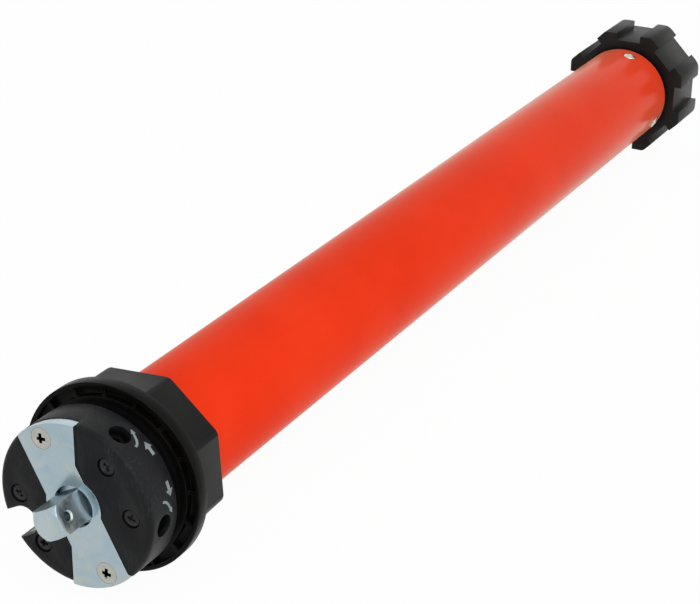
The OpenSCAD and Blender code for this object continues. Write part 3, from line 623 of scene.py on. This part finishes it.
def islands(node):
    bm = welded(node)
    left = set(bm.verts)
    boxes = []
    while left:
        group, front = [], [left.pop()]
        while front:
            vert = front.pop()
            group.append(vert.co.copy())
            for edge in vert.link_edges:
                other = edge.other_vert(vert)
                if other in left:
                    left.remove(other)
                    front.append(other)
        boxes.append([Vector([pick(values) for values in zip(*group)]) for pick in (min, max)])
    bm.free()
    return sorted(boxes, key=lambda box: tuple(round(v, SORT_DIGITS) for v in box[0]))


def middle(box):
    return (box[0] + box[1]) / 2


plate_screw_boxes = islands("plate_screws")
cap_screw_boxes = islands("cover_screws")
rivet_boxes = islands("tube_rivets")
print("plate screws:", len(plate_screw_boxes), "cap screws:", len(cap_screw_boxes),
      "rivets:", len(rivet_boxes))

# %% [markdown]
# A solid from a drawing program has knife edges, and a real moulding has none. The quickest way
# to ease them is to copy the solid's mesh, merge its flat triangles and bevel every edge that is
# sharper than a limit. The width follows the part: large mouldings have larger radii than small
# ones.

# %% Eased copies of the mouldings
FLAT_ANGLE = math.radians(0.4)
EASE_MM = {"head_cover": 0.25, "crown": 0.4, "drive_wheel": 0.4,
           "cable_socket": 0.2, "upper_adjuster": 0.2, "lower_adjuster": 0.2}


def merged(node):
    bm = welded(node)
    bmesh.ops.dissolve_limit(bm, angle_limit=FLAT_ANGLE, verts=bm.verts, edges=bm.edges)
    return bm


def ease_edges(bm, width, limit=28, segments=2, wanted=lambda edge: True):
    sharp = [edge for edge in bm.edges
             if len(edge.link_faces) == 2
             and edge.calc_face_angle() > math.radians(limit) and wanted(edge)]
    bmesh.ops.bevel(bm, geom=sharp, offset=width, offset_type="OFFSET", segments=segments,
                    profile=0.5, affect="EDGES", clamp_overlap=True, loop_slide=False)
    return bm


for node, width in EASE_MM.items():
    add_piece(node + "_eased", ease_edges(merged(node), width * MM), node)

# %% [markdown]
# The mounting plate is punched from thick sheet, and the punch rolls the edges of its outline
# over. Its holes were cut from the same side and stay crisp. So the outline gets a wide, rounded
# bevel and the holes a fine one, and the short edges through the thickness, at the corners of the
# wings, stay sharp. An edge belongs to a hole if its middle is within reach of the hole's centre.

# %% The mounting plate
PIN_HOLE_REACH = 8.5 * MM
SCREW_HOLE_REACH = 4.6 * MM
OUTLINE_ROLL = 0.8 * MM
HOLE_EASE = 0.15 * MM
MOST_SLOPE = 0.5
plate_holes = [(Vector(), PIN_HOLE_REACH)]
plate_holes += [(middle(box), SCREW_HOLE_REACH) for box in plate_screw_boxes]


def by_a_hole(edge):
    at = (edge.verts[0].co + edge.verts[1].co) / 2
    return any((at - centre).yz.length < reach for centre, reach in plate_holes)


def on_outline(edge):
    across = edge.verts[0].co - edge.verts[1].co
    return abs(across.x) < MOST_SLOPE * across.length and not by_a_hole(edge)


plate = ease_edges(merged("mounting_plate"), OUTLINE_ROLL, segments=4, wanted=on_outline)
add_piece("mounting_plate_eased", ease_edges(plate, HOLE_EASE, wanted=by_a_hole), "mounting_plate")

# %% [markdown]
# The square pin is drawn steel, turned to a cone at its tip and drilled across for a split pin.
# The drill hole was deburred with a countersink, so its mouth gets a wider, straight chamfer
# before the other edges are eased. The edges of the mouth are those that lie on the drill's
# cylinder, at the pin's flanks. The record of the hole gives its centre, its radius and its
# length.

# %% The square pin
MOUTH_CHAMFER = 0.5 * MM
PIN_EASE = 0.35 * MM
PIN_SHARP_FROM = 36
AT_FLANK, ON_BORE = 0.98, 1.05
hole_at = Vector(mounts["split_pin_hole"]["pos_m"])
hole_r = mounts["split_pin_hole"]["dims"]["r_mm"] * MM
flank = mounts["split_pin_hole"]["dims"]["length_mm"] / 2 * MM


def on_hole_mouth(edge):
    for vert in edge.verts:
        from_hole = vert.co - hole_at
        along = from_hole.dot(cross_axis)
        off_axis = (from_hole - cross_axis * along).length
        if abs(along) < flank * AT_FLANK or off_axis > hole_r * ON_BORE:
            return False
    return True


pin = ease_edges(merged("square_pin"), MOUTH_CHAMFER, segments=1, wanted=on_hole_mouth)
add_piece("square_pin_eased", ease_edges(pin, PIN_EASE, limit=PIN_SHARP_FROM), "square_pin")

# %% [markdown]
# The tube is the largest surface in the picture, so it must be truly round. The solid's mesh
# shows facets along its outline, so the tube is made anew: a profile of its wall, with rolled
# ends, is turned about the X axis in fine steps. bmesh's spin does what a lathe does.

# %% Turning profiles about the axis
SAME_POINT = 1e-7
TUBE_WALL = 1.0 * MM
TUBE_END_ROUND = 0.25 * MM
TUBE_STEPS = 256


def turned(profile, steps):
    bm = bmesh.new()
    ring = [bm.verts.new((x, 0, r)) for x, r in profile]
    edges = [bm.edges.new(pair) for pair in zip(ring, ring[1:] + ring[:1])]
    bmesh.ops.spin(bm, geom=ring + edges, cent=(0, 0, 0), axis=(1, 0, 0), angle=2 * math.pi,
                   steps=steps, use_merge=True)
    bmesh.ops.remove_doubles(bm, verts=bm.verts, dist=SAME_POINT)
    return bm


def rolled_wall(x0, x1, r_in, r_out, soft, bits=4):
    corners = ((x0 + soft, r_in + soft, 180), (x0 + soft, r_out - soft, 90),
               (x1 - soft, r_out - soft, 0), (x1 - soft, r_in + soft, -90))
    points = []
    for x, r, start in corners:
        for bit in range(bits + 1):
            angle = math.radians(start + 90 - 90 * bit / bits)
            points.append((x + soft * math.cos(angle), r + soft * math.sin(angle)))
    return points


tube_r = tube_high.z
tube_profile = rolled_wall(tube_low.x, tube_high.x, tube_r - TUBE_WALL, tube_r, TUBE_END_ROUND)
add_piece("tube_lacquered", turned(tube_profile, TUBE_STEPS), "tube")

# %% [markdown]
# A cross-head screw is a turned blank with a punched cross. The cross could be a dark mark on the
# head, but a real recess takes light and shade in every view. The blank comes from the lathe
# helper, and the punch is a pair of crossed blades that a boolean takes away. The blades are
# wider at the head than at the bottom, as the driver's tip is, so the cross shows dark, sloping
# walls.

# %% The punch for the crosses
PUNCH_LEAD = 0.6 * MM
WIDE_ABOVE, NARROW_BELOW = 1.12, 0.45
BLADE_CORNERS = ((-1, -1), (1, -1), (1, 1), (-1, 1))
BLADE_FACES = ((3, 2, 1, 0), (4, 5, 6, 7), (0, 1, 5, 4), (1, 2, 6, 5), (2, 3, 7, 6), (3, 0, 4, 7))


def punch(head_x, half_long, half_wide, depth, turn):
    bm = bmesh.new()
    for quarter in (0, math.pi / 2):
        verts = []
        for x, share in ((head_x - PUNCH_LEAD, WIDE_ABOVE), (head_x + depth, NARROW_BELOW)):
            for y, z in BLADE_CORNERS:
                corner = Vector((x, y * half_wide * (share + 1) / 2, z * half_long * share))
                verts.append(bm.verts.new(Matrix.Rotation(quarter + turn, 3, "X") @ corner))
        for face in BLADE_FACES:
            bm.faces.new([verts[i] for i in face])
    return bm


print("the punch tapers from", WIDE_ABOVE, "to", NARROW_BELOW, "of its nominal length")

# %% [markdown]
# A boolean is a modifier: one object is cut by another. Both are put into the scene for a moment,
# the cut shape is read back, and both are removed again. The two blades cross each other, so the
# modifier is told to expect that.

# %% Carving with a boolean
def carved(blank, tool):
    pair = []
    for name, source in (("carve_blank", blank), ("carve_tool", tool)):
        mesh = bpy.data.meshes.new(name)
        bmesh.ops.recalc_face_normals(source, faces=source.faces)
        source.to_mesh(mesh)
        source.free()
        pair.append(put(name, mesh))
    cut = pair[0].modifiers.new("cut", "BOOLEAN")
    cut.object = pair[1]
    cut.operation = "DIFFERENCE"
    cut.solver = "EXACT"
    cut.use_self = True
    result = bmesh.new()
    result.from_mesh(pair[0].evaluated_get(bpy.context.evaluated_depsgraph_get()).data)
    for holder in pair:
        mesh = holder.data
        bpy.data.objects.remove(holder)
        bpy.data.meshes.remove(mesh)
    return result


print("helper for cuts: carved")

# %% [markdown]
# The plate's screws are countersunk, with a low dome that sits just under the face. The cap's
# screws have pan heads deep in their counterbores. A profile lists the distance from the head's
# top and the radius, in millimetres. No one lines crosses up when driving screws, so each has its
# own turn.

# %% Cross-head screws
SCREW_STEPS = 64
PLATE_SCREW = [(0.02, 0), (0.05, 1.7), (0.12, 3.0), (0.22, 3.55), (0.38, 3.8), (0.55, 3.7),
               (1.85, 1.7), (2.1, 1.6), (8.4, 1.6), (9.0, 1.1), (9.0, 0)]
PLATE_CROSS = (2.0 * MM, 0.62 * MM, 1.5 * MM)
PLATE_TURNS = (8, -4)
CAP_SCREW = [(0.0, 0), (0.03, 1.6), (0.12, 2.3), (0.32, 2.72), (0.6, 2.88), (1.35, 2.88),
             (1.4, 1.3), (8.6, 1.3), (9.0, 0.9), (9.0, 0)]
CAP_CROSS = (1.8 * MM, 0.58 * MM, 1.2 * MM)
CAP_TURNS = (20, -35, 5, 40)


def join(whole, one):
    mesh = bpy.data.meshes.new("one")
    one.to_mesh(mesh)
    one.free()
    whole.from_mesh(mesh)
    bpy.data.meshes.remove(mesh)


def screw_set(boxes, profile_mm, cross, turns):
    head_x = boxes[0][0].x
    profile = [(head_x + x * MM, r * MM) for x, r in profile_mm]
    whole = bmesh.new()
    for box, turn in zip(boxes, turns):
        tool = punch(profile[0][0], *cross, math.radians(turn))
        one = carved(turned(profile, SCREW_STEPS), tool)
        one.transform(Matrix.Translation((0, *middle(box).yz)))
        join(whole, one)
    return whole


add_piece("plate_screw_set", screw_set(plate_screw_boxes, PLATE_SCREW, PLATE_CROSS, PLATE_TURNS),
          "plate_screws", finish="plate_screw_zinc")
add_piece("cap_screw_set", screw_set(cap_screw_boxes, CAP_SCREW, CAP_CROSS, CAP_TURNS),
          "cover_screws")

# %% [markdown]
# The rivets at the far end are blind rivets, with shallow domes and a dimple where the mandrel
# broke off. A flattened sphere would miss the dimple, so each is turned like a screw, about its
# own axis, and stood on the tube along the radius that its solid had.

# %% Domed rivets
RIVET_STEPS = 40
RIVET_RISE = 0.7 * MM
RIVET_LIFT = 0.05 * MM
RIVET_GRIP = 5.9 * MM
RIVET_SHANK = 1.5 * MM
DOME_ANGLES = [math.radians(a) for a in range(20, 91, 10)]
DIMPLE = [(0.3 * MM, 0), (0.3 * MM, 0.6 * MM), (0.62 * MM, 0.85 * MM)]
rivet_head_r = (rivet_boxes[0][1].x - rivet_boxes[0][0].x) / 2
rivet_dome = [(RIVET_RISE * math.cos(a), rivet_head_r * math.sin(a)) for a in DOME_ANGLES]
rivet_shank = [(0, RIVET_SHANK), (-RIVET_GRIP, RIVET_SHANK), (-RIVET_GRIP, 0)]
stand_up = Matrix.Rotation(math.radians(-90), 4, "Y")
rivets = bmesh.new()
for box in rivet_boxes:
    at = middle(box)
    lean = Matrix.Rotation(math.atan2(-at.y, at.z), 4, "X")
    one = turned(DIMPLE + rivet_dome + rivet_shank, RIVET_STEPS)
    one.transform(lean @ Matrix.Translation((at.x, 0, tube_r + RIVET_LIFT)) @ stand_up)
    join(rivets, one)
add_piece("tube_rivet_domes", rivets, "tube_rivets")

# %% [markdown]
# Arrows in pale ink on the skirt of the cap show which way the travel limits move. They are
# printed, so they lie on the round skirt like a skin. A picture would need an unwrapped skirt, so
# each mark is a ribbon instead: a line on the unrolled skirt, in millimetres along X and degrees
# round the axis, with a half width in millimetres at every point. The ribbon is wrapped round the
# radius of the head, with a closed thickness of a few hundredths of a millimetre.

# %% Printed arrows
INK_UP = 0.03 * MM
INK_DOWN = 0.06 * MM
INK_SECTION = ((1, INK_UP), (-1, INK_UP), (-1, -INK_DOWN), (1, -INK_DOWN))
MARKS = {
    "upper_arrow": [(12.6, 38.6, 0.66), (12.6, 41.3, 0.66), (12.6, 44.0, 0.66),
                    (12.6, 44.05, 1.65), (12.6, 46.2, 0.86), (12.6, 48.6, 0.03)],
    "lower_arrow": [(12.2, 20.2, 0.66), (12.2, 17.4, 0.66), (12.2, 14.6, 0.66),
                    (12.2, 14.55, 1.75), (12.2, 12.4, 0.9), (12.2, 10.2, 0.03)],
    "upper_hook": [(8.3, 49.2, 0.4), (9.2, 49.5, 0.45), (10.0, 50.6, 0.46), (10.7, 52.4, 0.45),
                   (11.2, 54.6, 0.42), (11.7, 56.6, 0.35), (11.75, 56.7, 0.85),
                   (12.4, 60.0, 0.05)],
    "lower_hook": [(7.8, 9.6, 0.36), (8.7, 9.2, 0.42), (9.6, 8.0, 0.44), (10.3, 6.2, 0.44),
                   (10.8, 4.2, 0.4), (11.2, 2.4, 0.35), (11.25, 2.3, 0.8), (12.0, -0.9, 0.05)],
}


def wrapped(x, round_by, r):
    return Vector((x, -r * math.cos(round_by / head_r), r * math.sin(round_by / head_r)))


def ribbon(bm, line):
    flat = [(Vector((x * MM, math.radians(a) * head_r)), w * MM) for x, a, w in line]
    rows = []
    for i, (at, width) in enumerate(flat):
        ahead = flat[min(i + 1, len(flat) - 1)][0] - flat[max(i - 1, 0)][0]
        side = Vector((-ahead.y, ahead.x)).normalized() * width
        rows.append([bm.verts.new(wrapped(*(at + side * k), head_r + up))
                     for k, up in INK_SECTION])
    for near, far in zip(rows, rows[1:]):
        for k in range(4):
            bm.faces.new((near[k], near[(k + 1) % 4], far[(k + 1) % 4], far[k]))
    bm.faces.new(rows[0])
    bm.faces.new(rows[-1])


add_finishes(surface, {
    "mark_ink": dict(
        dark=(0.15, 0.185, 0.185), light=(0.33, 0.38, 0.38), grain=1800, clouds=400,
        rough=(0.5, 0.65), specular=0.3),
})
marks = bmesh.new()
for line in MARKS.values():
    ribbon(marks, line)
print("marks:", ", ".join(MARKS))
add_piece("skirt_arrows", marks, "head_cover", replace=False, finish="mark_ink")

# %% [markdown]
# The studio is white all round, as in the photograph. The world shows plain white to the camera
# and in reflections, and gives a lower, even light to everything else, so that the white doesn't
# flood the object. The Light Path node tells the two kinds of ray apart.

# %% World
WHITE = (1, 1, 1, 1)
WORLD_LIGHT = 0.55


def seen_as_background(tree):
    ray = add(tree, "LightPath").outputs
    direct = maths(tree, "MAXIMUM", ray["Is Camera Ray"], ray["Is Glossy Ray"])
    return maths(tree, "MAXIMUM", direct, ray["Is Transmission Ray"])


world = bpy.data.worlds.new("studio")
bpy.context.scene.world = world
world.use_nodes = True
tree = world.node_tree
tree.nodes.clear()
level = stretch(tree, seen_as_background(tree), (0, 1), (WORLD_LIGHT, 1))
sky = add(tree, "Background", Color=WHITE, Strength=level)
add(tree, "OutputWorld", Surface=sky.outputs[0])
print("the world lights the object with", WORLD_LIGHT, "of white")

# %% [markdown]
# Area lamps stand in for a studio's softboxes. A large one above the head makes the shape, a
# lower one in front lights the tube's underside, and a weak one stands behind, so that the tube's
# upper edge is darker than its middle. Each has a place, a point that it is aimed at, a width in
# metres and a power in watts.

# %% Lamps
LAMPS = {
    "key": ((-0.35, -0.75, 1.0), (0.2, 0, 0), 1.4, 7.0),
    "front": ((-0.5, -1.1, 0.3), (0.1, 0, 0), 0.9, 3.0),
    "back": ((0.7, 0.9, 0.9), (0.25, 0, 0), 1.2, 1.2),
}
for name, (place, target, size, power) in LAMPS.items():
    lamp = bpy.data.lights.new(name, "AREA")
    lamp.shape = "SQUARE"
    lamp.size = size
    lamp.energy = power
    aim(put(name, lamp), Vector(place), Vector(target) - Vector(place))
bpy.context.scene.view_settings.view_transform = "Standard"
print("lamps:", ", ".join(LAMPS))

# %% [markdown]
# The motor lies on its crown, the widest part, so the floor is at the crown's lowest point. To
# the camera and in reflections the floor is white like the world, with a thin share of lit
# surface mixed in, which keeps the motor's soft shadow. To all other rays it is a pale board.

# %% Floor
FLOOR_HALF = 6.0
FLOOR_GREY = (0.82, 0.82, 0.82, 1)
FLOOR_LIT_SHARE = 0.03


def mix_shaders(tree, share, first, second):
    step = add(tree, "MixShader", Fac=share)
    tree.links.new(first.outputs[0], step.inputs[1])
    tree.links.new(second.outputs[0], step.inputs[2])
    return step


pale, tree, shader = new_finish("pale_floor")
tree.nodes.remove(shader)
board = add(tree, "BsdfDiffuse", Color=FLOOR_GREY)
glow = add(tree, "Emission", Color=WHITE, Strength=1)
shown = mix_shaders(tree, FLOOR_LIT_SHARE, glow, board)
either = mix_shaders(tree, seen_as_background(tree), board, shown)
tree.links.new(either.outputs[0], tree.nodes["Material Output"].inputs["Surface"])

floor_bm = bmesh.new()
bmesh.ops.create_grid(floor_bm, x_segments=8, y_segments=8, size=FLOOR_HALF)
floor_mesh = bpy.data.meshes.new("floor")
floor_bm.to_mesh(floor_mesh)
floor_bm.free()
floor_mesh.materials.append(pale)
floor = put("floor", floor_mesh)
floor.location.z = cad_box[0].z
print("floor at", round(floor.location.z / MM, 2), "mm")
